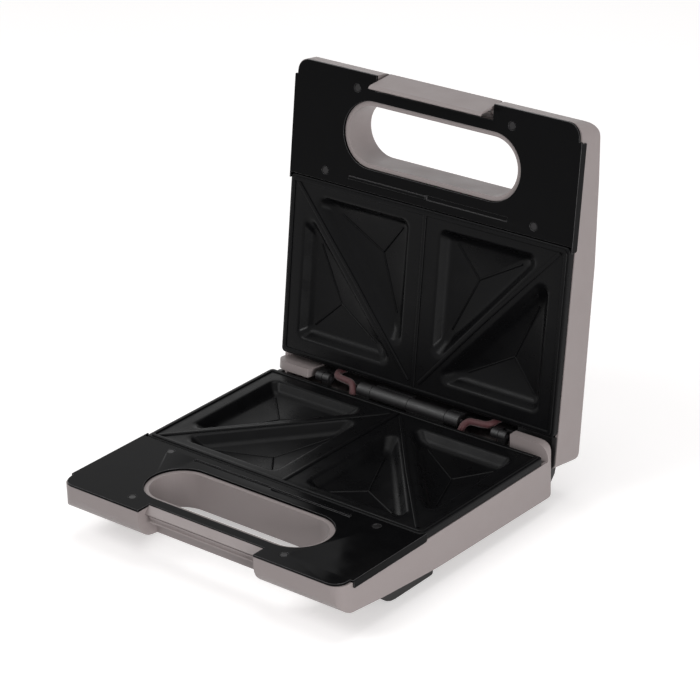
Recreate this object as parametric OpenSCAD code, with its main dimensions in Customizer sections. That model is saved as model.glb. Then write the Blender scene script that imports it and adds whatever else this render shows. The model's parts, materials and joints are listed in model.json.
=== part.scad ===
// Two-slice sandwich toaster: two moulded tubs, hinged at the rear, with cast toasting plates.
// Both halves are modelled in one half frame: x right, y back from the front edge, z up from
// the plane of the panel, with the housing below it. The lid is the same half turned over.

/* [Body] */
// Width of both housings
body_w = 228; // [226:1:232]
// Distance from the front edge back to the hinge axis
hinge_y = 213.8; // [213:0.2:216]
// Distance from the hinge axis back to the base's rear wall
base_reach = 2.2; // [2:0.1:2.6]
// Distance from the hinge axis back to the lid's rear wall
lid_reach = 14.7; // [14:0.1:16]
// Gap between the two panels when the toaster is closed
panel_gap = 2.1; // [2.1:0.1:2.6]
// Angle that the lid opens to
open_angle = 98; // [94:1:100]
// Wall thickness of the housings
wall = 2.2; // [1.8:0.1:2.4]
// Depth of a housing where its front corner would be square
front_depth = 20.5; // [19:0.5:21]
// Depth of a housing at the handle slot
handle_depth = 25; // [24.5:0.5:26]
// Depth of a housing behind the handle panel
mid_depth = 29.2; // [29:0.2:31]
// Depth of a housing at its rear
rear_depth = 31.5; // [31.5:0.5:34]
// Height of the panel plane above the table
stand_h = 41; // [40:0.5:44]
// Radius of the rounded front edge
front_r = 13; // [10:1:16]
// Radius of the housings' upright front corners
corner_r = 9; // [8:1:12]
// Radius of the housings' upright rear corners
rear_corner_r = 4; // [3:0.5:6]
// Radius of the edge between a housing's rear wall and its floor
rear_edge_r = 6; // [4:0.5:8]

/* [Handle panel] */
// Thickness of the handle panel
panel_t = 1.6; // [1.4:0.1:1.8]
// Depth of the handle panel from front to back
panel_d = 78.4; // [77:0.2:79]
// Height of the lips that lap over the housing's sides
lip_h = 5.7; // [4:0.1:7]
// How far the lips stand out from the housing's sides
lip_out = 1; // [0.8:0.1:1.4]
// Where the side lips start behind the front edge
lip_front = 11; // [10:0.5:14]
// Half-length of the panel's slot
slot_half = 71.45; // [68:0.05:74]
// Radius of the panel's slot ends
slot_r = 22.7; // [21:0.1:23.5]
// Distance from the front edge to the slot's centre line
slot_y = 40.3; // [39:0.1:41]
// Wall thickness of the slot's liner
liner_t = 3; // [2:0.1:4]
// Half-width of the notch for the latch
notch_half = 47; // [46:0.1:50]
// Depth of the notch behind the front edge
notch_d = 10.5; // [10.2:0.1:11.5]
// Depth of the base's finger recess behind the front edge
recess_d = 16; // [15:0.2:16.2]
// Radius of the panel screws' heads
screw_head_r = 2.4; // [2.1:0.1:2.8]

/* [Toasting plate] */
// Width of the toasting plate
plate_w = 227; // [225:1:227]
// Sheet thickness of the toasting plate
plate_t = 2.2; // [1.8:0.1:2.6]
// Gap between the handle panel and the toasting plate
plate_front_gap = 0.8; // [0.4:0.1:1.2]
// Distance from the hinge axis forward to the toasting plate
plate_rear_gap = 8.2; // [8.1:0.1:9]
// Height of the plate's skirt
skirt_h = 4.9; // [4:0.1:5.5]
// Depth of the pockets' steep walls
pocket_wall_d = 7; // [6:0.1:8]
// Width of the pockets' steep walls, seen from above
pocket_wall_w = 5; // [3:0.1:6]
// Depth of the pockets at their lowest point
pocket_d = 11.3; // [10:0.1:11.5]
// Corner radius of the pockets
pocket_r = 5.5; // [3:0.1:6]
// Width of the sealing ribs
rib_w = 2.4; // [2:0.1:3]
// Height of the sealing ribs
rib_h = 0.9; // [0.6:0.1:0.9]

/* [Hinge] */
// Radius of the hinge barrel
barrel_r = 5; // [4.6:0.1:5.2]
// Half-length of the hinge barrel
barrel_half = 42; // [41:0.5:42.5]
// Outer knuckle's length, cut from each end of the barrel
end_knuckle = 11; // [9:0.5:13]
// Radius of the hinge pin
pin_r = 1.8; // [1.5:0.1:2.2]
// Radial clearance of the hinge pins
pin_play = 0.05; // [0.03:0.01:0.08]
// Height of the hinge lugs above the panel plane
lug_h = 6.3; // [5.5:0.1:6.4]
// Width of the hinge lugs
lug_w = 30; // [26:1:31]
// Depth of the hinge lugs from front to back
lug_d = 6; // [5.4:0.1:6]
// Radius of the lead sleeves
sleeve_r = 2.4; // [2:0.1:2.4]

/* [Latch] */
// Gap between each end of the latch and its notch
latch_end_gap = 2; // [1.5:0.1:4]
// Thickness of the latch's tongue
latch_t = 1.5; // [1.3:0.1:1.6]
// How far the latch's tip stands out from the lid's panel plane
latch_tip = 11; // [10.8:0.1:11.2]
// Radius of the latch pin
latch_pin_r = 1.25; // [1:0.05:1.4]

/* [Hidden] */
$fn = 64;

// Colours
c_housing = [0.57, 0.53, 0.52];
c_black = [0.07, 0.07, 0.07];
c_plate = [0.2, 0.2, 0.2];
c_steel = [0.7, 0.7, 0.72];
c_sleeve = [0.32, 0.09, 0.09];

// Clearances between neighbouring pieces
fit = 0.2;
joint_gap = 0.4;
stop_gap = 0.4;
eps = 0.01;
far = 400;
top_z = 20;

// Places that follow from the driving sizes
half_w = body_w / 2;
hinge_z = panel_gap / 2;
base_rear = hinge_y + base_reach;
lid_rear = hinge_y + lid_reach;
plate_front = panel_d + plate_front_gap;
plate_rear = hinge_y - plate_rear_gap;
plate_rim_z = -skirt_h - fit;
lug_front = base_rear - lug_d;
lug_side_r = 9.5;
lug_root = -12;
lug_inner_x = half_w - lug_w;
hinge_rim_z = -7.6;
lip_rear = panel_d + 4;
handle_y = slot_y;
mid_y = panel_d + 17;
bracket_t = 2.6;
bracket_front = base_rear - wall - bracket_t;
bracket_top = hinge_z - barrel_r - 0.7;
bracket_bottom = bracket_top - 9;
bracket_half = lug_inner_x - 2;
front_screw_x = notch_half + 15;
front_screw_y = 11.1;
rear_screw_x = half_w - 29.3;
rear_screw_y = panel_d - 6.9;
screw_places = [for (s = [-1, 1]) each [
    [s * front_screw_x, front_screw_y], [s * rear_screw_x, rear_screw_y]]];
post_places = [for (s = [-1, 1]) each [
    [s * (plate_w / 2 - 10), plate_front + 9], [s * 9, plate_rear - 8.7]]];
screw_r = 1.35;
screw_len = 9;
post_r = 3.6;
plate_corner_r = 3;
plate_boss_r = 4;
plate_boss_h = 10;
shield_z = -(mid_depth - 5);
shield_t = 0.6;
element_r = 3.2;
element_z = -(pocket_d + plate_t + element_r + 0.3);
clamp_t = 1.2;
catch_front = 6.2;
catch_end_gap = 3.6;
notch_bottom = -16.5;
latch_pivot = [6.6, -8];
latch_half = notch_half - latch_end_gap;
outer_pin_r = 1.5;
outer_knuckle_r = 3.4;
outer_knuckle_x = bracket_half - 14;
outer_knuckle_w = 5.4;
slot_straight = slot_half - slot_r;
liner_r = slot_r - 0.3;
vent_pitch = 20;
vent_w = 5;
vent_l = 50;
bead_half = 64;
bead_w = 2;
bead_y = (slot_y + slot_r + panel_d) / 2 - 0.1;
gland_r = 5;
gland_flange = 2;
gland_bore_r = 3.4;
gland_z = -20.5;
gland_seat = 0.4;

// Depth of a housing's outer face at y behind the front edge
profile_stations = [
    [0, front_depth], [handle_y, handle_depth], [mid_y, mid_depth], [lid_rear, rear_depth]];
function depth_at(y) = lookup(y, profile_stations);

// Points of a polygon with rounded corners; r is one radius or one for each corner
function unit(v) = v / norm(v);
function arc_points(a, b, c, r) = r == 0 ? [b] : let (
    u = unit(a - b),
    v = unit(c - b),
    half = acos(u * v) / 2,
    centre = b + unit(u + v) * r / sin(half),
    start = b + u * r / tan(half) - centre,
    end = b + v * r / tan(half) - centre,
    start_a = atan2(start[1], start[0]),
    turn = atan2(end[1], end[0]) - start_a,
    sweep = turn > 180 ? turn - 360 : turn < -180 ? turn + 360 : turn,
    steps = max(2, ceil(abs(sweep) / 15 - 0.001))
) [for (i = [0 : steps]) centre + r * [cos(start_a + sweep * i / steps), sin(start_a + sweep * i / steps)]];
function rounded(points, r) = let (n = len(points)) [for (i = [0 : n - 1]) each arc_points(
    points[(i + n - 1) % n], points[i], points[(i + 1) % n], is_list(r) ? r[i] : r)];

// Side outline (y, z) and plan outline (x, y) of a tub, moved inwards by inset
function side_outline(rear, inset) = rounded([
    [inset, top_z + inset], [inset, inset - front_depth], [handle_y, inset - handle_depth],
    [mid_y, inset - mid_depth], [rear - inset, inset - depth_at(rear)], [rear - inset, top_z + inset]],
    [0, front_r - inset, 60, 60, rear_edge_r - inset, 0]);
function plan_outline(rear, inset) = rounded([
    [inset - half_w, inset], [half_w - inset, inset], [half_w - inset, rear - inset],
    [inset - half_w, rear - inset]],
    [corner_r - inset, corner_r - inset, rear_corner_r - inset, rear_corner_r - inset]);

// Where the open lid's rear face would lie at y, with the stop's gap, measured in the base
function stop_z(y) = hinge_z - (lid_reach + stop_gap - (y - hinge_y) * cos(open_angle)) / sin(open_angle);

// The open lid's rearmost point, which sets the model's middle in y
function open_y(p) = hinge_y - (p[0] - hinge_y) * -cos(open_angle) + (hinge_z - p[1]) * sin(open_angle);
open_rear = max([for (p = side_outline(lid_rear, 0)) p[1] > 0 ? 0 : open_y(p)]);
mid_shift = open_rear / 2;

// Extrusions along the half frame's axes
module along_x(half) rotate([90, 0, 90]) translate([0, 0, -half]) linear_extrude(2 * half) children();
module along_y(z, y0, y1) translate([0, y0, z]) rotate([-90, 0, 0]) linear_extrude(y1 - y0) children();
module upright(bottom, top) translate([0, 0, bottom]) linear_extrude(top - bottom) children();
module box(low, high) translate(low) cube(high - low);
module rod_x(r, x0, x1, y, z) translate([x0, y, z]) rotate([0, 90, 0]) cylinder(r = r, h = x1 - x0);
module post(x, y, r, bottom, top) translate([x, y, bottom]) cylinder(r = r, h = top - bottom);
module stadium(straight, r) {
    square([2 * straight, 2 * r], center = true);
    for (s = [-1, 1]) translate([s * straight, 0]) circle(r);
}

// Places of the two halves in the part's own frame
module base_half() translate([0, -mid_shift, stand_h]) children();
module lid_half() base_half()
    translate([0, hinge_y, hinge_z]) rotate([-open_angle, 0, 0])
    translate([0, -hinge_y, hinge_z]) rotate([0, 180, 0]) children();

// A tub's outer form, moved inwards by inset
module tub_form(rear, inset) intersection() {
    along_x(half_w + 5) polygon(side_outline(rear, inset));
    upright(-far, far) polygon(plan_outline(rear, inset));
}

// Hinge lug, rounded at the housing's side, and moved inwards by inset
module lug(inset) along_y(0, lug_front + inset, base_rear - inset) mirror([0, 1]) polygon(rounded([
    [lug_inner_x + inset, lug_root], [half_w - inset, lug_root], [half_w - inset, lug_h - inset],
    [lug_inner_x + inset, lug_h - inset]], [0, 0, lug_side_r - inset, 0.8]));

// Everything above the tub's rim, which steps down behind the panel and again between its sides
// at the hinge
module rim_cuts(rear) {
    box([-half_w - 1, -1, -panel_t], [half_w + 1, plate_front, far]);
    difference() {
        union() {
            box([-half_w - 1, plate_front - 1, plate_rim_z], [half_w + 1, rear + 1, far]);
            box([wall - half_w, plate_rear - 1, hinge_rim_z], [half_w - wall, rear + 1, far]);
        }
        lug(0);
    }
}

module handle_liner(r, bottom, top) translate([0, slot_y, 0])
    upright(bottom, top) stadium(slot_straight, r);

// Moulded tub with its handle liner, a box about the notch, posts and lug
module tub(rear, box_d, box_bottom) {
    difference() {
        union() {
            difference() {
                tub_form(rear, 0);
                tub_form(rear, wall);
            }
            intersection() {
                tub_form(rear, wall / 2);
                union() {
                    handle_liner(liner_r, -far, 0);
                    box([-notch_half - wall, 0, box_bottom - wall],
                        [notch_half + wall, box_d + wall, 0]);
                    for (p = screw_places) post(p[0], p[1], post_r, -far, 0);
                    for (p = post_places) {
                        post(p[0], p[1], plate_boss_r + 2, -far, shield_z);
                        post(p[0], p[1], plate_boss_r, -far, -plate_t - plate_boss_h);
                    }
                    if (rear > base_rear)
                        box([-half_w, base_rear - wall, -far], [half_w, base_rear, hinge_rim_z]);
                }
            }
            intersection() {
                tub_form(rear, 0);
                difference() {
                    lug(0);
                    lug(wall);
                }
            }
        }
        rim_cuts(rear);
        handle_liner(liner_r - liner_t, -far, far);
        for (p = screw_places) post(p[0], p[1], screw_r + 0.1, -panel_t - screw_len, 1);
        for (p = post_places) {
            post(p[0], p[1], screw_r + 0.4, -far, 0);
            post(p[0], p[1], screw_head_r + 0.3, -far, shield_z - 2.4);
        }
    }
}

// Slots through a tub's floor that let the heat out
module vents() for (k = [-3 : 3])
    upright(-far, shield_z - 1) translate([k * vent_pitch, mid_y + 35])
    square([vent_w, vent_l], center = true);

// Ledge behind the base's notch, and the bar under it whose channel takes the latch's rib
channel_z = panel_gap - latch_tip + 0.85;
ledge_lip = channel_z + 2;
ledge_back = recess_d + wall / 2;
module ledge() along_x(notch_half + eps) polygon([
    [ledge_back, -panel_t - 0.2], [notch_d - 0.3, -panel_t - 0.2], [notch_d - 0.3, -0.8],
    [catch_front, ledge_lip + 1.1], [catch_front, ledge_lip + 0.6], [catch_front + 0.9, ledge_lip + 0.6],
    [catch_front + 0.9, ledge_lip], [catch_front + 3, ledge_lip], [ledge_back - 4.6, ledge_lip + 2.1],
    [ledge_back, ledge_lip + 2.1]]);
module catch_bar() along_x(notch_half - catch_end_gap) polygon([
    [catch_front + 0.9, ledge_lip + 0.4], [catch_front + 0.9, ledge_lip], [catch_front, ledge_lip],
    [catch_front, channel_z + 1.2], [catch_front + 1, channel_z + 0.8], [catch_front + 1, channel_z - 0.8],
    [catch_front, channel_z - 1.2], [catch_front, channel_z - 2.1], [catch_front + 3, channel_z - 2.1],
    [catch_front + 3, ledge_lip + 0.4]]);

module base_housing() color(c_housing) base_half() {
    difference() {
        union() {
            tub(base_rear, recess_d, -far);
            along_y(gland_z, base_rear - wall + 0.5, base_rear + gland_seat)
                circle(gland_r + gland_flange + 0.5);
        }
        box([-notch_half, -1, -far], [notch_half, recess_d, 1]);
        vents();
        along_y(gland_z, base_rear - wall - 1, base_rear + 1) circle(gland_r + 0.1);
        along_y(gland_z, base_rear - wall - 4, base_rear - wall + 0.3)
            circle(gland_r + gland_flange / 2 + 0.2);
    }
    ledge();
    catch_bar();
}

module lid_housing() color(c_housing) lid_half() {
    difference() {
        tub(lid_rear, notch_d, notch_bottom);
        box([-notch_half, -1, notch_bottom], [notch_half, notch_d, 1]);
        rod_x(latch_pin_r + 0.02, -notch_half - 10, notch_half + 10, latch_pivot[0], latch_pivot[1]);
        for (s = [-1, 1]) post(s * lens_x, lens_y, lens_r + 0.1, -far, -mid_depth / 2);
    }
}

// Handle panel with its slot, notch and side lips
module panel() color(c_black) difference() {
    union() {
        upright(-panel_t, 0) polygon(rounded([
            [-half_w + 1.2, 0], [half_w - 1.2, 0], [half_w - 1.2, lip_front],
            [half_w + lip_out, lip_front], [half_w + lip_out, panel_d], [-half_w - lip_out, panel_d],
            [-half_w - lip_out, lip_front], [-half_w + 1.2, lip_front]],
            [corner_r, corner_r, 0, 0.8, 0, 0, 0.8, 0]));
        for (s = [-1, 1]) translate([s * (half_w + lip_out / 2 + 0.05), 0, 0])
            along_x(lip_out / 2 - 0.05) polygon(rounded([
                [lip_front + 1, 0], [lip_front + 1, -lip_h], [lip_rear, -lip_h], [lip_rear, 0]],
                [0, 0.8, 1.5, 0]));
        box([0.5, bead_y, -eps], [bead_half, bead_y + bead_w, panel_gap / 2]);
    }
    box([-notch_half, -1, -far], [notch_half, notch_d, far]);
    handle_liner(slot_r, -far, far);
    box([-bead_half, bead_y - 0.5, -panel_t / 2], [0, bead_y + bead_w + 0.5, 1]);
    for (p = screw_places) {
        post(p[0], p[1], screw_r + 0.25, -far, far);
        post(p[0], p[1], screw_head_r + 0.4, -panel_t + 0.7, far);
    }
}
module base_panel() base_half() panel();
module lid_panel() lid_half() panel();

module panel_screws() color(c_steel) for (p = screw_places) {
    post(p[0], p[1], screw_head_r, -panel_t + 0.7, -0.1);
    post(p[0], p[1], screw_r, -panel_t - screw_len + 1, -panel_t + 0.7 + eps);
}
module base_panel_screws() base_half() panel_screws();
module lid_panel_screws() lid_half() panel_screws();

// The four triangular pockets: two corners on the long side and the depth of the facets between them
border = 6.5;
cell_x = plate_w / 2 - border;
cell_front = plate_front + 3;
cell_rear = plate_rear - 2.9;
pocket_front = cell_front + 7.7;
pocket_back = cell_rear - 10.7;
pocket_in = 13.1;
pocket_out = cell_x - 7.2;
inner_pocket = [[pocket_in, pocket_front], [pocket_out - 5.1, pocket_front], [pocket_in, pocket_back - 8.6]];
outer_pocket = [[pocket_out, pocket_front + 9.4], [pocket_out, pocket_back], [pocket_in + 3.8, pocket_back]];
inner_apex = [pocket_in + 26.4, pocket_front + 29.8];
outer_apex = [pocket_out - 27.8, pocket_back - 28.3];

function grown(points, by) = let (n = len(points)) [for (i = [0 : n - 1]) let (
    u = unit(points[i] - points[(i + n - 1) % n]),
    v = unit(points[(i + 1) % n] - points[i])
) points[i] + by * ([u[1], -u[0]] + [v[1], -v[0]]) / (1 + u * v)];

// A pocket's hollow, grown on all sides by t: a steep wall with a shallow pyramid under it
module pocket(points, apex, t) {
    outline = rounded(grown(points, t), pocket_r + t);
    floor_outline = rounded(grown(points, t - pocket_wall_w), pocket_r + t);
    n = len(outline);
    top = t > 0 ? 0 : 1;
    rings = concat(
        [for (p = outline) [p[0], p[1], top]],
        [for (p = outline) [p[0], p[1], -1]],
        [for (p = floor_outline) [p[0], p[1], -pocket_wall_d - t]],
        [[apex[0], apex[1], -pocket_d - t]]);
    polyhedron(rings, concat(
        [[for (i = [n - 1 : -1 : 0]) i]],
        [for (k = [0, 1], i = [0 : n - 1]) [k * n + i, k * n + (i + 1) % n, (k + 1) * n + (i + 1) % n]],
        [for (k = [0, 1], i = [0 : n - 1]) [k * n + i, (k + 1) * n + (i + 1) % n, (k + 1) * n + i]],
        [for (i = [0 : n - 1]) [2 * n + i, 2 * n + (i + 1) % n, 3 * n]]));
}
module each_pocket(t) for (s = [0, 1]) mirror([s, 0, 0]) {
    pocket(inner_pocket, inner_apex, t);
    pocket(outer_pocket, outer_apex, t);
}

module rib(from, to) translate([from[0], from[1], -eps])
    rotate(atan2(to[1] - from[1], to[0] - from[0]))
    translate([0, -rib_w / 2, 0]) cube([norm(to - from), rib_w, rib_h + eps]);

// Cast plate with four pockets, sealing ribs, a skirt and four bosses
module plate() color(c_plate) {
    plan = [[-plate_w / 2, plate_front], [plate_w / 2, plate_front],
        [plate_w / 2, plate_rear], [-plate_w / 2, plate_rear]];
    difference() {
        union() {
            upright(-plate_t, 0) polygon(rounded(plan, plate_corner_r));
            difference() {
                upright(-skirt_h, 0) polygon(rounded(plan, plate_corner_r));
                upright(-far, far) polygon(rounded(grown(plan, -plate_t), plate_corner_r - plate_t));
            }
            each_pocket(plate_t);
            for (s = [-1, 1]) rib([s * (cell_x - 1), cell_front + 2], [s * 4.5, cell_rear - 5]);
            rib([0, cell_front], [0, cell_rear - 4]);
            for (p = post_places) post(p[0], p[1], plate_boss_r, -plate_t - plate_boss_h, -1);
        }
        each_pocket(0);
        for (p = post_places) post(p[0], p[1], screw_r + 0.1, -far, -plate_t);
    }
}
module base_plate() base_half() plate();
module lid_plate() lid_half() plate();

module plate_screws() color(c_steel) for (p = post_places) {
    post(p[0], p[1], screw_head_r, shield_z - 4, shield_z - 2.4);
    post(p[0], p[1], screw_r, shield_z - 2.4 - eps, -plate_t - 2);
}
module base_plate_screws() base_half() plate_screws();
module lid_plate_screws() lid_half() plate_screws();

// Sheathed heating element bent to a loop, open at its right end
loop_r = 29;
loop_y = (plate_front + plate_rear) / 2;
loop_end_x = plate_w / 2 - 32;
loop_bend_x = -plate_w / 2 + 52;
module element() color(c_steel) translate([0, loop_y, element_z]) {
    for (s = [-1, 1]) {
        rod_x(element_r, loop_bend_x, loop_end_x, s * loop_r, 0);
        rod_x(element_r / 2, loop_end_x, loop_end_x + 8, s * loop_r, 0);
    }
    translate([loop_bend_x, 0, 0]) rotate(90)
        rotate_extrude(angle = 180) translate([loop_r, 0]) circle(element_r);
}
module base_element() base_half() element();
module lid_element() lid_half() element();

// Bar under both runs of the element, on a stem that rises to the plate
clamp_w = 12;
clamp_over = 8;
clamp_stem_r = 5;
module element_clamp() color(c_steel) {
    bar_top = element_z - element_r - 0.05;
    reach = loop_r + clamp_over;
    box([-clamp_w / 2, loop_y - reach, bar_top - clamp_t], [clamp_w / 2, loop_y + reach, bar_top]);
    post(0, loop_y, clamp_stem_r, bar_top - eps, -plate_t);
}
module base_element_clamp() base_half() element_clamp();
module lid_element_clamp() lid_half() element_clamp();

module heat_shield() color(c_steel) difference() {
    upright(shield_z, shield_z + shield_t) polygon(rounded([
        [-plate_w / 2 + 3, plate_front + 2], [plate_w / 2 - 3, plate_front + 2],
        [plate_w / 2 - 3, plate_rear - 1], [-plate_w / 2 + 3, plate_rear - 1]], plate_corner_r));
    for (p = post_places) post(p[0], p[1], plate_boss_r + 0.3, -far, far);
}
module base_heat_shield() base_half() heat_shield();
module lid_heat_shield() lid_half() heat_shield();

module thermostat() color(c_steel) base_half() {
    post(0, plate_front + 13, 7, -plate_t - 6, -plate_t);
    post(0, plate_front + 13, 4, -plate_t - 9, -plate_t - 6 + eps);
}
module thermal_fuse() color(c_steel) base_half()
    translate([0, plate_rear - 29, -plate_t - 2.2 - 0.05]) rotate([-90, 0, 0]) cylinder(r = 2.2, h = 14);

// Terminal block under the hinge bracket, with three screw holes
block_x = -bracket_half;
block_w = 30;
block_h = 6.5;
block_front = bracket_front - 5;
module terminal_block() color("ivory") base_half() difference() {
    box([block_x, block_front, bracket_bottom - 1 - block_h],
        [block_x + block_w, base_rear - wall, bracket_bottom - 1]);
    for (k = [1, 3, 5])
        post(block_x + k * block_w / 6, bracket_front - 1, 2, bracket_bottom - block_h / 2, bracket_bottom);
}

// Cord gland through the base's rear wall: a sleeve between two flanges
module cord_gland() color(c_black) base_half() {
    inner = base_rear - wall + 0.3;
    outer = base_rear + gland_seat;
    difference() {
        union() {
            along_y(gland_z, inner - 2, inner) circle(gland_r + gland_flange / 2);
            along_y(gland_z, inner - eps, outer + eps) circle(gland_r);
            along_y(gland_z, outer, outer + 2.5) circle(gland_r + gland_flange);
        }
        along_y(gland_z, inner - 3, outer + 4) circle(gland_bore_r);
    }
}

// Front foot: a runner under each side, rounded at its front
foot_front = 48;
foot_rear = 102;
foot_front_r = 16;
foot_rear_r = 2;
foot_out = 104;
foot_w = 14;
module front_foot(s) color(c_black) base_half() difference() {
    translate([s * (foot_out - foot_w / 2), 0, 0]) along_x(foot_w / 2) polygon(rounded([
        [foot_front, -front_depth], [foot_front, -stand_h], [foot_rear, -stand_h],
        [foot_rear, -front_depth]], [0, foot_front_r, foot_rear_r, 0]));
    tub_form(base_rear, 0);
}
module front_foot_left() front_foot(-1);
module front_foot_right() front_foot(1);

pad_r = 8;
pad_x = 85;
pad_y = 190;
module rear_pad(s) color(c_black) base_half() difference() {
    post(s * pad_x, pad_y, pad_r, -stand_h, -rear_depth / 2);
    tub_form(base_rear, 0);
}
module rear_pad_left() rear_pad(-1);
module rear_pad_right() rear_pad(1);

// Ear behind the base: the open lid rests on its sloping top
stand_x = 98;
stand_w = 20;
stand_reach = base_rear + 12;
module rear_stand(s) color(c_black) base_half() difference() {
    translate([s * stand_x, 0, 0]) along_x(stand_w / 2) polygon([
        [base_rear - 4, stop_z(base_rear - 4)], [stand_reach, stop_z(stand_reach)],
        [stand_reach - 2, -22], [base_rear, -33], [base_rear - 4, -28]]);
    tub_form(base_rear, 0);
}
module rear_stand_left() rear_stand(-1);
module rear_stand_right() rear_stand(1);

// Hinge bracket, a part that only its cover tells apart in the two halves: a beam with two barrel
// knuckles and two small ones
inner_knuckle = barrel_half - end_knuckle;
barrel_knuckles = [[-barrel_half, -inner_knuckle - fit], [fit, inner_knuckle - fit]];
outer_knuckle_end = outer_knuckle_x + 2 * outer_knuckle_w + joint_gap;
outer_knuckles = [[outer_knuckle_end - outer_knuckle_w, outer_knuckle_end],
    [-outer_knuckle_x - outer_knuckle_w, -outer_knuckle_x]];
module knuckle(span, r, bore_r) difference() {
    union() {
        rod_x(r, span[0], span[1], hinge_y, hinge_z);
        box([span[0], hinge_y - r, bracket_top - eps], [span[1], base_rear - wall, hinge_z - r / 2]);
    }
    rod_x(bore_r, span[0] - 1, span[1] + 1, hinge_y, hinge_z);
}

// Cover over the rim where the other half's lug turns: a sheet that is turned up at the side
cover_t = 1.2;
cover_low = hinge_rim_z + fit;
cover_edge = plate_rim_z + fit;
cover_turn_x = wall + 0.3 - half_w;
module lug_cover(rear) intersection() {
    along_y(0, plate_rear + 0.8, rear) mirror([0, 1]) polygon([
        [eps - bracket_half, cover_low], [cover_turn_x, cover_low], [cover_turn_x, cover_edge],
        [-half_w, cover_edge], [-half_w, cover_edge + 1], [cover_turn_x + cover_t, cover_edge + 1],
        [cover_turn_x + cover_t, cover_low + cover_t], [eps - bracket_half, cover_low + cover_t]]);
    upright(-far, far) polygon(plan_outline(rear, half_w - plate_w / 2));
}
module hinge_bracket(rear) color(c_black) {
    for (span = barrel_knuckles) knuckle(span, barrel_r, pin_r + pin_play);
    for (span = outer_knuckles) knuckle(span, outer_knuckle_r, outer_pin_r + pin_play);
    box([-bracket_half, bracket_front, bracket_bottom], [bracket_half, base_rear - wall, bracket_top]);
    lug_cover(rear);
}
module base_hinge_bracket() base_half() hinge_bracket(base_rear);
module lid_hinge_bracket() lid_half() hinge_bracket(lid_rear);

module hinge_pin() color(c_steel) base_half() rod_x(pin_r, -barrel_half, barrel_half, hinge_y, hinge_z);
module outer_hinge_pins() color(c_steel) base_half() for (s = [-1, 1])
    rod_x(outer_pin_r, s > 0 ? outer_knuckle_x : -outer_knuckle_end,
        s > 0 ? outer_knuckle_end : -outer_knuckle_x, hinge_y, hinge_z);

// Sleeved leads, from the base up past the hinge axis and back into the open lid
function sleeve_x(t) = barrel_half + t * (outer_knuckle_x - barrel_half);
sleeve_route = [[sleeve_x(0.12), -5.4, -21.6], [sleeve_x(0.12), -5.4, -14], [sleeve_x(0.12), -5.4, -7],
    [sleeve_x(0.13), -5, -3.4], [sleeve_x(0.17), -3, 0.2], [sleeve_x(0.28), -0.9, 2.4],
    [sleeve_x(0.45), -0.2, 2.9], [sleeve_x(0.65), 0.2, 3.1], [sleeve_x(0.8), 1.2, 3.4],
    [sleeve_x(0.87), 4, 4], [sleeve_x(0.88), 7.5, 4.3], [sleeve_x(0.88), 14, 3.6]];
function spline(a, b, c, d, t) = ((2 * b) + (c - a) * t + (2 * a - 5 * b + 4 * c - d) * t * t
    + (3 * b - a - 3 * c + d) * t * t * t) / 2;
function spline_points(route, steps) = let (n = len(route)) concat(
    [for (i = [0 : n - 2], k = [0 : steps - 1])
        spline(route[max(i - 1, 0)], route[i], route[i + 1], route[min(i + 2, n - 1)], k / steps)],
    [route[n - 1]]);
module swept_tube(path, r, sides) {
    n = len(path);
    rings = [for (i = [0 : n - 1]) let (
        along = unit(path[min(i + 1, n - 1)] - path[max(i - 1, 0)]),
        side = unit(cross(along, [0.6, -0.4, 0.1])),
        up = cross(side, along)
    ) each [for (k = [0 : sides - 1])
        path[i] + r * (cos(360 * k / sides) * side + sin(360 * k / sides) * up)]];
    polyhedron(rings, concat(
        [[for (k = [0 : sides - 1]) k]],
        [[for (k = [sides - 1 : -1 : 0]) (n - 1) * sides + k]],
        [for (i = [0 : n - 2], k = [0 : sides - 1]) let (next = (k + 1) % sides)
            [i * sides + k, (i + 1) * sides + k, (i + 1) * sides + next]],
        [for (i = [0 : n - 2], k = [0 : sides - 1]) let (next = (k + 1) % sides)
            [i * sides + k, (i + 1) * sides + next, i * sides + next]]));
}
module lead_sleeve() color(c_sleeve) translate([0, hinge_y, hinge_z])
    swept_tube(spline_points(sleeve_route, 3), sleeve_r, 10);
module lead_sleeve_left() base_half() mirror([1, 0, 0]) lead_sleeve();
module lead_sleeve_right() base_half() lead_sleeve();

// Indicator lenses through the lid's outer face, each with its lamp behind it
lens_x = 14;
lens_y = (slot_y + slot_r + plate_front) / 2 + 0.3;
lens_r = 3.5;
lens_outer = -depth_at(lens_y) - 0.6;
lens_inner = -depth_at(lens_y) + wall + 1;
module lens(s, tint) color(tint) lid_half() {
    post(s * lens_x, lens_y, lens_r, lens_outer, lens_inner);
    post(s * lens_x, lens_y, lens_r + 1, lens_inner - eps, lens_inner + 1);
}
module power_lens() lens(-1, "red");
module ready_lens() lens(1, "green");
module lamp(s) color("white") lid_half() post(s * lens_x, lens_y, 2.5, lens_inner + 1.1, lens_inner + 11);
module power_lamp() lamp(-1);
module ready_lamp() lamp(1);

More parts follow.
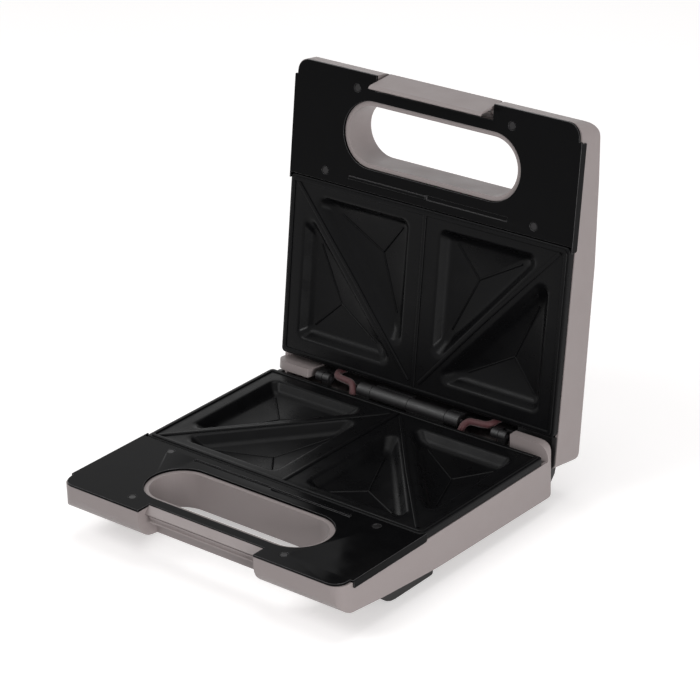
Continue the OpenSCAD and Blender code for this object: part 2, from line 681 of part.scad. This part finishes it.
// Latch: a sloping tongue with a bent finger edge and a rib inside it, on two lobes around its pin
tongue_top = -12;
tongue_out = 0.1;
tongue_low_out = 4.4;
lip_bend_z = latch_tip - 2;
rib_in = catch_front + 0.7;
lobe_w = 4;
function tongue_y(z) = lookup(z, [[tongue_top, tongue_out], [lip_bend_z, tongue_low_out]]);
module latch() color(c_housing) lid_half() difference() {
    union() {
        along_x(latch_half) polygon([
            [tongue_out, tongue_top], [tongue_low_out, lip_bend_z], [tongue_low_out + 1.3, latch_tip],
            [rib_in - 0.4, latch_tip], [rib_in, latch_tip - 0.5], [rib_in, latch_tip - 1.2],
            [tongue_low_out + latch_t, latch_tip - 1.8], [tongue_out + latch_t + 0.4, tongue_top]]);
        for (s = [-1, 1]) {
            rod_x(latch_pin_r + 2, s > 0 ? latch_half - lobe_w : -latch_half,
                s > 0 ? latch_half : lobe_w - latch_half, latch_pivot[0], latch_pivot[1]);
            box([s > 0 ? latch_half - lobe_w : -latch_half, tongue_y(latch_pivot[1]) + latch_t / 2,
                latch_pivot[1] - 2.5],
                [s > 0 ? latch_half : lobe_w - latch_half, latch_pivot[0], latch_pivot[1] + 2.5]);
        }
    }
    rod_x(latch_pin_r + pin_play, -far, far, latch_pivot[0], latch_pivot[1]);
}
module latch_pin() color(c_steel) lid_half()
    rod_x(latch_pin_r, -notch_half - wall, notch_half + wall, latch_pivot[0], latch_pivot[1]);
module latch_spring() color(c_steel) lid_half() for (k = [0 : 5])
    translate([(k - 2.5) * 1.1, latch_pivot[0], latch_pivot[1]]) rotate([0, 90, 0])
    rotate_extrude($fn = 48) translate([latch_pin_r + 0.7, 0]) circle(0.5, $fn = 16);

base_housing();
base_panel();
base_plate();
base_element();
base_element_clamp();
base_heat_shield();
base_panel_screws();
base_plate_screws();
thermostat();
thermal_fuse();
terminal_block();
cord_gland();
front_foot_left();
front_foot_right();
rear_pad_left();
rear_pad_right();
rear_stand_left();
rear_stand_right();
base_hinge_bracket();
hinge_pin();
outer_hinge_pins();
lead_sleeve_left();
lead_sleeve_right();
lid_housing();
lid_panel();
lid_plate();
lid_element();
lid_element_clamp();
lid_heat_shield();
lid_panel_screws();
lid_plate_screws();
lid_hinge_bracket();
power_lens();
ready_lens();
power_lamp();
ready_lamp();
latch();
latch_pin();
latch_spring();
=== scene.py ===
import json
import math

import bmesh
import bpy
from mathutils import Matrix, Vector
from mathutils.geometry import tessellate_polygon


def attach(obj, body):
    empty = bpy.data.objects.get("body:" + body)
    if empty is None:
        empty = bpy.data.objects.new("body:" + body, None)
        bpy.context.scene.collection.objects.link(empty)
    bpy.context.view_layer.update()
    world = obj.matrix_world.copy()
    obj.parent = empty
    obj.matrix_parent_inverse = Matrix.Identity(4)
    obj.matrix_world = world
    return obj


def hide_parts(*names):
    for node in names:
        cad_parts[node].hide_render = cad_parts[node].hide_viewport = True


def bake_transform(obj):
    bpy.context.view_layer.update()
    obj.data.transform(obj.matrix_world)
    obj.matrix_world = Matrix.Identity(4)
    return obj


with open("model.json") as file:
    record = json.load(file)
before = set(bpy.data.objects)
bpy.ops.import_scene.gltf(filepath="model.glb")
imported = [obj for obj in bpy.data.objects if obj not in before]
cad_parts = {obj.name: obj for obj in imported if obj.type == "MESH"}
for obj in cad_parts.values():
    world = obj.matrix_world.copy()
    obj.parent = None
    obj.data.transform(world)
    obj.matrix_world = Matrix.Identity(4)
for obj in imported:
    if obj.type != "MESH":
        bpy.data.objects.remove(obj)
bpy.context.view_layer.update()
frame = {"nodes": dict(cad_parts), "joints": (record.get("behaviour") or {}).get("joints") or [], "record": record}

MM = 0.001
NODES = frame["nodes"]
RECORD = frame["record"]
BODY_OF = {n: b for b, names in RECORD["behaviour"]["bodies"].items() for n in names}
SLOTS = {part["node"]: part["material_slot"] for part in RECORD["subparts"]}

# ---------------------------------------------------------------- the two halves' frames
# A half's own frame, in millimetres: x right, y back from the front edge, z up from the panel's
# plane. The lid is the same half turned over and opened by OPEN about the hinge.
HINGE = frame["joints"][0]["pos_m"]
HINGE_Y, HINGE_Z = 213.8, 1.05
OPEN = math.radians(98)
BASE = (Matrix.Translation((0, HINGE[1], HINGE[2])) @ Matrix.Scale(MM, 4)
        @ Matrix.Translation((0, -HINGE_Y, -HINGE_Z)))
LID = (BASE @ Matrix.Translation((0, HINGE_Y, HINGE_Z)) @ Matrix.Rotation(-OPEN, 4, "X")
       @ Matrix.Translation((0, -HINGE_Y, HINGE_Z)) @ Matrix.Rotation(math.pi, 4, "Y"))
HALVES = {"base": BASE, "lid": LID}

# Sizes that the pieces share with the solids
PLATE_W, PLATE_FRONT, PLATE_REAR = 227.0, 79.2, 205.6
PLATE_CORNER, SKIRT_H, SKIRT_T = 3.0, 4.9, 1.6
POCKET_R = 5.5
INNER_POCKET = [(13.1, 89.9), (94.7, 89.9), (13.1, 183.4)]
OUTER_POCKET = [(99.8, 99.3), (99.8, 192.0), (16.9, 192.0)]
INNER_APEX, OUTER_APEX = (39.5, 119.7), (72.0, 163.7)


# ---------------------------------------------------------------- outlines
ARC_STEP = 9


def unit(v):
    return v / v.length


def arc_points(a, b, c, r, step):
    """The corner at b, between a and c, rounded to radius r."""
    a, b, c = Vector(a), Vector(b), Vector(c)
    u, v = unit(a - b), unit(c - b)
    half = math.acos(max(-1, min(1, u.dot(v)))) / 2
    centre = b + unit(u + v) * (r / math.sin(half))
    start = b + u * (r / math.tan(half)) - centre
    end = b + v * (r / math.tan(half)) - centre
    a0 = math.atan2(start.y, start.x)
    sweep = (math.atan2(end.y, end.x) - a0 + math.pi) % (2 * math.pi) - math.pi
    # The small part off keeps an exact right angle from taking one step more on one corner.
    n = max(2, math.ceil(abs(math.degrees(sweep)) / step - 0.001))
    return [centre + r * Vector((math.cos(a0 + sweep * i / n), math.sin(a0 + sweep * i / n)))
            for i in range(n + 1)]


def rounded(points, r):
    """A closed outline with every corner rounded to radius r."""
    n = len(points)
    return [q for i in range(n)
            for q in arc_points(points[i - 1], points[i], points[(i + 1) % n], r, ARC_STEP)]


def grown(points, by):
    """A counter-clockwise polygon's corners moved outwards."""
    out, n = [], len(points)
    for i in range(n):
        p = Vector(points[i])
        u, v = unit(p - Vector(points[i - 1])), unit(Vector(points[(i + 1) % n]) - p)
        out.append(p + by * (Vector((u.y, -u.x)) + Vector((v.y, -v.x))) / (1 + u.dot(v)))
    return out


def quarter(r, n):
    """(inset, depth) points of a rounded edge, from the flat top to the side."""
    angles = [math.radians(90 * i / n) for i in range(n + 1)]
    return [(r * (1 - math.sin(a)), r * (1 - math.cos(a))) for a in angles]


# ---------------------------------------------------------------- meshes
LEAST_MITRE = 0.3


class Build:
    """Collects vertices and faces in one half's millimetres."""

    def __init__(self):
        self.bm = bmesh.new()

    def ring(self, points):
        return [self.bm.verts.new(p) for p in points]

    def bridge(self, a, b, closed=True):
        n = len(a)
        for i in range(n if closed else n - 1):
            j = (i + 1) % n
            self.bm.faces.new([a[i], a[j], b[j], b[i]])

    def loft(self, rings):
        made = [self.ring(r) for r in rings]
        for a, b in zip(made, made[1:]):
            self.bridge(a, b)
        return made

    def cap(self, ring, flip=False):
        self.bm.faces.new(ring[::-1] if flip else ring)

    def fan(self, ring, point):
        tip = self.bm.verts.new(point)
        n = len(ring)
        for i in range(n):
            self.bm.faces.new([ring[i], ring[(i + 1) % n], tip])
        return tip

    def fill(self, rings):
        """A flat face with holes: the first ring is its edge, and the others are the holes."""
        flat = [v for r in rings for v in r]
        for tri in tessellate_polygon([[v.co for v in r] for r in rings]):
            self.bm.faces.new([flat[i] for i in tri])

    def strip(self, path, profile, closed=False):
        """A profile of (across, up) points swept along a level path."""
        n = len(path)
        rings = []
        for i in range(n):
            p = Vector(path[i])
            back = Vector(path[i - 1]) if closed or i else p
            front = Vector(path[(i + 1) % n]) if closed or i < n - 1 else p
            before = unit(p - back) if (p - back).length > 1e-6 else None
            after = unit(front - p) if (front - p).length > 1e-6 else None
            u, v = before or after, after or before
            along = unit(u + v)
            side = along.cross(Vector((0, 0, 1))).normalized() / max(LEAST_MITRE, along.dot(u))
            rings.append([p + side * s + Vector((0, 0, h)) for s, h in profile])
        made = [self.ring(r) for r in rings]
        for a, b in zip(made, made[1:] + (made[:1] if closed else [])):
            self.bridge(a, b, False)
        if not closed:
            self.cap(made[0], True)
            self.cap(made[-1])

    def finish(self, name, half, body, material, node, angle):
        bmesh.ops.recalc_face_normals(self.bm, faces=self.bm.faces)
        mesh = bpy.data.meshes.new(name)
        self.bm.to_mesh(mesh)
        self.bm.free()
        mesh.transform(HALVES[half])
        return place(name, mesh, body, material, node, angle)


def place(name, mesh, body, material, node, angle):
    """A piece that replaces a node and rides on a body, or on none where no body is given."""
    mesh.materials.clear()
    mesh.materials.append(material)
    mesh.shade_smooth()
    mesh.set_sharp_from_angle(angle=math.radians(angle))
    obj = bpy.data.objects.new(name, mesh)
    bpy.context.collection.objects.link(obj)
    if body:
        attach(obj, body)
    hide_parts(node)
    return obj


MERGE_DIST = 2e-6
FLAT_ANGLE = math.radians(0.6)
SHARP_ANGLE = 35


def skin(node, width, material, segments=2, highlight_material=None):
    """A copy of a solid's surface with its sharp edges rounded by width; the rounded edges take the second
    material if one is given, a lighter colour that paints a highlight along them.
    """
    mesh = NODES[node].data.copy()
    bm = bmesh.new()
    bm.from_mesh(mesh)
    bmesh.ops.remove_doubles(bm, verts=bm.verts, dist=MERGE_DIST)
    bmesh.ops.dissolve_limit(bm, angle_limit=FLAT_ANGLE, verts=bm.verts, edges=bm.edges)
    bm.to_mesh(mesh)
    bm.free()
    obj = place(node + "_skin", mesh, BODY_OF[node], material, node, SHARP_ANGLE)
    bevel = obj.modifiers.new("Rounding", "BEVEL")
    bevel.width = width * MM
    bevel.segments = segments
    bevel.limit_method = "ANGLE"
    bevel.angle_limit = math.radians(SHARP_ANGLE)
    bevel.use_clamp_overlap = True
    bevel.harden_normals = True
    # The rounded edges take the lighter material: a painted highlight along them.
    if highlight_material:
        mesh.materials.append(highlight_material)
        bevel.material = 1


# ---------------------------------------------------------------- materials
def srgb(r, g, b):
    def lin(c):
        c /= 255
        return c / 12.92 if c <= 0.04045 else ((c + 0.055) / 1.055) ** 2.4
    return (lin(r), lin(g), lin(b), 1)


# Noise scales go with object coordinates in metres. Noise stays mostly between NOISE_LOW and
# NOISE_HIGH, and spread() stretches that to the range it is given.
NOISE_LOW, NOISE_HIGH = 0.3, 0.7
BLOTCH_SCALE, GLOSS_SCALE = 25, 75
ROUGH_VAR = 0.06
GRAIN_SHADE = 0.12
BUMP_DEPTH = 0.0004
COAT_ROUGH = 0.08


def material(name, colour, rough, grain, bump, mottle=0.06, metallic=0.0, specular=0.5, coat=0.0,
             sheen=0.0):
    """Plain finish with fine grain in its bump, and soft mottling in its colour and gloss."""
    m = bpy.data.materials.new(name)
    m.use_nodes = True
    nt = m.node_tree
    nodes, link = nt.nodes, nt.links.new
    bsdf = nodes["Principled BSDF"]
    bsdf.inputs["Metallic"].default_value = metallic
    bsdf.inputs["Specular IOR Level"].default_value = specular
    bsdf.inputs["Coat Weight"].default_value = coat
    bsdf.inputs["Coat Roughness"].default_value = COAT_ROUGH
    bsdf.inputs["Sheen Weight"].default_value = sheen
    coords = nodes.new("ShaderNodeTexCoord").outputs["Object"]

    def noise(scale, detail=3, roughness=0.5):
        n = nodes.new("ShaderNodeTexNoise")
        n.inputs["Scale"].default_value = scale
        n.inputs["Detail"].default_value = detail
        n.inputs["Roughness"].default_value = roughness
        link(coords, n.inputs["Vector"])
        return n.outputs["Fac"]

    def mix_rgb(fac, a, b):
        n = nodes.new("ShaderNodeMix")
        n.data_type = "RGBA"
        for socket, value in ((n.inputs[0], fac), (n.inputs[6], a), (n.inputs[7], b)):
            if hasattr(value, "is_linked"):
                link(value, socket)
            else:
                socket.default_value = value
        return n.outputs[2]

    def spread(value, low, high):
        n = nodes.new("ShaderNodeMapRange")
        n.inputs["From Min"].default_value = NOISE_LOW
        n.inputs["From Max"].default_value = NOISE_HIGH
        n.inputs["To Min"].default_value = low
        n.inputs["To Max"].default_value = high
        link(value, n.inputs["Value"])
        return n.outputs["Result"]

    dark = tuple(c * (1 - mottle) for c in colour[:3]) + (1,)
    light = tuple(min(1, c * (1 + mottle)) for c in colour[:3]) + (1,)
    base = mix_rgb(noise(BLOTCH_SCALE), dark, light)
    fine = noise(grain, 2, 0.6)
    base = mix_rgb(spread(fine, 0.0, GRAIN_SHADE), base, dark)
    link(base, bsdf.inputs["Base Color"])
    gloss = spread(noise(GLOSS_SCALE), rough - ROUGH_VAR, rough + ROUGH_VAR)
    link(gloss, bsdf.inputs["Roughness"])
    relief = nodes.new("ShaderNodeBump")
    relief.inputs["Strength"].default_value = bump
    relief.inputs["Distance"].default_value = BUMP_DEPTH
    link(fine, relief.inputs["Height"])
    link(relief.outputs["Normal"], bsdf.inputs["Normal"])
    return m


# The record's material slots, and a lighter grey for the panels' rounded edges, a painted highlight that is no
# slot of its own
FINISHES = {
    "housing_plastic": material("housing_plastic", srgb(136, 127, 126), 0.42, grain=2600, bump=0.12,
                                mottle=0.015, specular=0.4),
    "panel_plastic": material("panel_plastic", srgb(9, 9, 10), 0.18, grain=1500, bump=0.02,
                              mottle=0.1, specular=0.04),
    # Lighter than the panel's black: a painted highlight on its rounded edges
    "panel_edge_highlight": material("panel_edge_highlight", srgb(58, 57, 58), 0.3, grain=1500, bump=0.02, mottle=0.1,
                          specular=0.4),
    "plate_coating": material("plate_coating", srgb(10, 10, 11), 0.3, grain=1400, bump=0.12,
                              mottle=0.05, specular=0.08),
    "black_plastic": material("black_plastic", srgb(22, 21, 22), 0.45, grain=1800, bump=0.12,
                              specular=0.4),
    "rubber": material("rubber", srgb(28, 27, 27), 0.6, grain=1200, bump=0.3, mottle=0.1,
                       specular=0.4),
    "dark_steel": material("dark_steel", srgb(34, 33, 34), 0.28, grain=1500, bump=0.08,
                           metallic=0.6),
    "steel": material("steel", srgb(200, 200, 205), 0.3, grain=1500, bump=0.08, metallic=1.0),
    "element_sheath": material("element_sheath", srgb(120, 116, 112), 0.45, grain=1500, bump=0.1,
                               metallic=1.0),
    "shield": material("shield", srgb(222, 222, 226), 0.35, grain=900, bump=0.1, metallic=1.0),
    "sleeve": material("sleeve", srgb(60, 18, 22), 0.6, grain=2200, bump=0.5, mottle=0.12,
                       specular=0.4, sheen=0.2),
    "terminal_plastic": material("terminal_plastic", srgb(225, 220, 204), 0.4, grain=1500, bump=0.1),
    "red_lens": material("red_lens", srgb(190, 30, 30), 0.12, grain=600, bump=0.03, coat=0.6),
    "green_lens": material("green_lens", srgb(40, 165, 70), 0.12, grain=600, bump=0.03, coat=0.6),
    "lamp_glass": material("lamp_glass", srgb(225, 225, 220), 0.08, grain=500, bump=0.02, coat=0.5),
}
for node, obj in NODES.items():
    obj.data.materials.clear()
    obj.data.materials.append(FINISHES[SLOTS[node]])

# ---------------------------------------------------------------- toasting plates
# Profiles as (across, up), sunk a little into the surface below them
RIB = [(-1.4, -0.3), (-1.3, 0.5), (-1.0, 0.8), (-0.6, 0.9), (0.6, 0.9), (1.0, 0.8), (1.3, 0.5),
       (1.4, -0.3)]
CREASE = [(-0.9, -0.3), (-0.55, 0.35), (0, 0.6), (0.55, 0.35), (0.9, -0.3)]
# A pocket's wall as (outwards, up), from the face over a round shoulder to the floor's edge
LIP, SHOULDER, HEEL, SILL = (2.6, 0), (0.2, 0), (-4.6, -7.1), (-8.6, -7.8)
SHOULDER_R, HEEL_R = 3.0, 7.5
WALL = ([Vector(LIP)] + arc_points(LIP, SHOULDER, HEEL, SHOULDER_R, 9)
        + arc_points(SHOULDER, HEEL, SILL, HEEL_R, 6))
CORNER_GROWTH, LEAST_CORNER = 0.4, 2.5
APEX_Z = -11.0
CREASE_REACH = 0.97

RIM_R, SKIRT_TOP = 0.8, -2.4
EDGE_RIB_IN, EDGE_RIB_R = 2.9, 2
# One half's slanting rib, and the rib along the middle
SLANT_RIB = [(106.5, 83.8), (55, 140), (4.6, 197.5)]
MIDDLE_RIB = [(0, 82.5), (0, 140), (0, 201)]


def pocket(b, side, points, apex):
    """A pocket's wall and the shallow pyramid of its floor, with a crease to each corner."""
    rings = []
    for g, z in WALL:
        outline = rounded(grown(points, g), max(POCKET_R + CORNER_GROWTH * g, LEAST_CORNER))
        rings.append([(side * p.x, p.y, z) for p in outline])
    made = b.loft(rings)
    tip = b.fan(made[-1], (side * apex[0], apex[1], APEX_Z))
    count = len(made[-1]) // 3
    for k in range(3):
        corner = made[-1][k * count + count // 2].co
        b.strip([tip.co, tip.co.lerp(corner, 0.5), tip.co.lerp(corner, CREASE_REACH)], CREASE)
    return made[0]


def plate(half):
    """A toasting plate's face: a rounded rim over its skirt, four pockets and the sealing ribs."""
    b = Build()
    x = PLATE_W / 2
    plan = [(-x, PLATE_FRONT), (x, PLATE_FRONT), (x, PLATE_REAR), (-x, PLATE_REAR)]
    edge = ([(-g, -z) for g, z in quarter(RIM_R, 4)]
            + [(0, -SKIRT_H), (-SKIRT_T, -SKIRT_H), (-SKIRT_T, SKIRT_TOP)])
    outer = b.loft([[(p.x, p.y, z) for p in rounded(grown(plan, g), PLATE_CORNER + g)]
                    for g, z in edge])
    holes = [pocket(b, side, points, apex) for side in (1, -1)
             for points, apex in ((INNER_POCKET, INNER_APEX), (OUTER_POCKET, OUTER_APEX))]
    b.fill([outer[0]] + holes)
    edge_rib = rounded(grown(plan, -EDGE_RIB_IN), EDGE_RIB_R)
    b.strip([(p.x, p.y, 0) for p in edge_rib], RIB, closed=True)
    for side in (1, -1):
        b.strip([(side * px, py, 0) for px, py in SLANT_RIB], RIB)
    b.strip([(px, py, 0) for px, py in MIDDLE_RIB], RIB)
    b.finish(half + "_plate_face", half, half, FINISHES["plate_coating"], half + "_plate", 28)


# ---------------------------------------------------------------- sleeved leads
# The route's points are (share of the way from SLEEVE_X outwards, y and z from the hinge axis)
SLEEVE_X, SLEEVE_SPAN, SLEEVE_R = 42.0, 26.0, 2.4
ROUTE = [(0.12, -5.4, -21.6), (0.12, -5.4, -14), (0.12, -5.4, -7), (0.13, -5, -3.4), (0.17, -3, 0.2),
         (0.28, -0.9, 2.4), (0.45, -0.2, 2.9), (0.65, 0.2, 3.1), (0.8, 1.2, 3.4), (0.87, 4, 4),
         (0.88, 7.5, 4.3), (0.88, 14, 3.6)]
ROUTE_STEPS, SLEEVE_SIDES = 9, 32
WEAVE_DEPTH, WEAVE_SINK, WEAVE_AROUND, WEAVE_PITCH = 0.07, 0.08, 4, 0.9


def spline(route, steps):
    """A smooth curve through every point of the route."""
    pts = [Vector(p) for p in route]
    out = []
    for i in range(len(pts) - 1):
        a, b, c, d = pts[max(i - 1, 0)], pts[i], pts[i + 1], pts[min(i + 2, len(pts) - 1)]
        for k in range(steps):
            t = k / steps
            out.append((2 * b + (c - a) * t + (2 * a - 5 * b + 4 * c - d) * t * t
                        + (3 * b - a - 3 * c + d) * t ** 3) / 2)
    return out + [pts[-1]]


def sleeve(name, side):
    """A braided sleeve: a tube whose strands cross in fine diamonds, laid along its route past the hinge."""
    b = Build()
    route = [(side * (SLEEVE_X + t * SLEEVE_SPAN), HINGE_Y + y, HINGE_Z + z) for t, y, z in ROUTE]
    path = spline(route, ROUTE_STEPS)
    rings = []
    for i, p in enumerate(path):
        along = unit(path[min(i + 1, len(path) - 1)] - path[max(i - 1, 0)])
        across = along.cross(Vector((0.6 * side, -0.4, 0.1))).normalized()
        other = across.cross(along)
        ring = []
        for k in range(SLEEVE_SIDES):
            a = 2 * math.pi * k / SLEEVE_SIDES
            turn, shift = WEAVE_AROUND * a, WEAVE_PITCH * i
            weave = WEAVE_DEPTH * math.cos(turn + shift) * math.cos(turn - shift)
            outwards = math.cos(a) * across + math.sin(a) * other
            ring.append(p + (SLEEVE_R - WEAVE_SINK + weave) * outwards)
        rings.append(ring)
    made = b.loft(rings)
    b.cap(made[0])
    b.cap(made[-1], True)
    obj = b.finish(name + "_braid", "base", None, FINISHES["sleeve"], name, 60)
    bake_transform(obj)


sleeve("lead_sleeve_left", -1)
sleeve("lead_sleeve_right", 1)

# ---------------------------------------------------------------- dressed solids
for half in HALVES:
    plate(half)
    skin(half + "_housing", 1.0, FINISHES["housing_plastic"], segments=4)
    skin(half + "_panel", 0.35, FINISHES["panel_plastic"], highlight_material=FINISHES["panel_edge_highlight"])
    skin(half + "_panel_screws", 0.25, FINISHES["dark_steel"])
    skin(half + "_hinge_bracket", 0.35, FINISHES["black_plastic"])
skin("latch", 0.35, FINISHES["housing_plastic"])
for node in ("front_foot_left", "front_foot_right", "rear_stand_left", "rear_stand_right",
             "rear_pad_left", "rear_pad_right", "cord_gland"):
    skin(node, 0.5, FINISHES[SLOTS[node]])

# ---------------------------------------------------------------- camera
# Fitted to edge points of both halves in the photograph, in metres and millimetres of lens
AZIMUTH, ELEVATION, ROLL = math.radians(39.697), math.radians(24.912), math.radians(-1.639)
eye = Vector((1.00371, -1.188463, 0.835054))
ahead = Vector((-math.sin(AZIMUTH) * math.cos(ELEVATION), math.cos(AZIMUTH) * math.cos(ELEVATION),
                -math.sin(ELEVATION)))
level_right = Vector((math.cos(AZIMUTH), math.sin(AZIMUTH), 0))
level_up = level_right.cross(ahead)
right = level_right * math.cos(ROLL) + level_up * math.sin(ROLL)
up = level_up * math.cos(ROLL) - level_right * math.sin(ROLL)
camera = bpy.data.objects.new("Camera", bpy.data.cameras.new("Camera"))
camera.data.lens = 139.98
camera.data.sensor_width = 36
camera.data.clip_start, camera.data.clip_end = 0.05, 20
camera.matrix_world = Matrix.Translation(eye) @ Matrix((right, up, -ahead)).transposed().to_4x4()
bpy.context.collection.objects.link(camera)
bpy.context.scene.camera = camera

# ---------------------------------------------------------------- floor, lights, world
FLOOR_HALF = 6.0
FLOOR_DROP = 0.0004
FLOOR_GLOW = 0.45
WORLD_LIGHT = 0.33
floor_mesh = bpy.data.meshes.new("floor")
floor_corners = [(x * FLOOR_HALF, y * FLOOR_HALF, 0) for x, y in ((-1, -1), (1, -1), (1, 1), (-1, 1))]
floor_mesh.from_pydata(floor_corners, [], [(0, 1, 2, 3)])
floor = bpy.data.objects.new("floor", floor_mesh)
floor.location.z = -FLOOR_DROP
bpy.context.collection.objects.link(floor)


def camera_or(nodes, link):
    """1 on rays that see the background straight on, in gloss or through glass."""
    path = nodes.new("ShaderNodeLightPath")
    seen = path.outputs["Is Camera Ray"]
    for other in ("Is Glossy Ray", "Is Transmission Ray"):
        either = nodes.new("ShaderNodeMath")
        either.operation = "MAXIMUM"
        link(seen, either.inputs[0])
        link(path.outputs[other], either.inputs[1])
        seen = either.outputs[0]
    return seen


floor_material = bpy.data.materials.new("floor")
floor_material.use_nodes = True
nodes, link = floor_material.node_tree.nodes, floor_material.node_tree.links.new
nodes.clear()
diffuse = nodes.new("ShaderNodeBsdfDiffuse")
diffuse.inputs["Color"].default_value = (0.82, 0.81, 0.81, 1)
glow = nodes.new("ShaderNodeEmission")
glow.inputs["Color"].default_value = (1, 0.985, 0.98, 1)
level = nodes.new("ShaderNodeMath")
level.operation = "MULTIPLY"
level.inputs[1].default_value = FLOOR_GLOW
link(camera_or(nodes, link), level.inputs[0])
link(level.outputs[0], glow.inputs["Strength"])
both = nodes.new("ShaderNodeAddShader")
link(diffuse.outputs[0], both.inputs[0])
link(glow.outputs[0], both.inputs[1])
link(both.outputs[0], nodes.new("ShaderNodeOutputMaterial").inputs[0])
floor_mesh.materials.append(floor_material)

world = bpy.data.worlds.new("World")
bpy.context.scene.world = world
world.use_nodes = True
nodes, link = world.node_tree.nodes, world.node_tree.links.new
nodes.clear()
backdrop = nodes.new("ShaderNodeBackground")
backdrop.inputs["Color"].default_value = (1, 1, 1, 1)
lit = nodes.new("ShaderNodeBackground")
lit.inputs["Color"].default_value = (1, 1, 1, 1)
lit.inputs["Strength"].default_value = WORLD_LIGHT
mix = nodes.new("ShaderNodeMixShader")
link(camera_or(nodes, link), mix.inputs[0])
link(lit.outputs[0], mix.inputs[1])
link(backdrop.outputs[0], mix.inputs[2])
link(mix.outputs[0], nodes.new("ShaderNodeOutputWorld").inputs[0])


def area(name, place_at, look_at, size, power):
    """A soft rectangular lamp; sizes in metres, power in watts."""
    lamp = bpy.data.lights.new(name, "AREA")
    lamp.shape = "RECTANGLE"
    lamp.size, lamp.size_y = size
    lamp.energy = power
    obj = bpy.data.objects.new(name, lamp)
    obj.location = place_at
    obj.rotation_mode = "QUATERNION"
    obj.rotation_quaternion = (Vector(look_at) - Vector(place_at)).to_track_quat("-Z", "Y")
    bpy.context.collection.objects.link(obj)


area("key", (-0.9, -1.3, 1.7), (0, 0, 0.08), (1.2, 1.0), 18)
area("right", (1.7, -0.75, 0.28), (0, 0.05, 0.12), (0.9, 0.5), 22)
area("top", (0.1, 0.2, 2.0), (0, 0, 0), (1.4, 1.4), 12)

bpy.context.scene.view_settings.view_transform = "Standard"
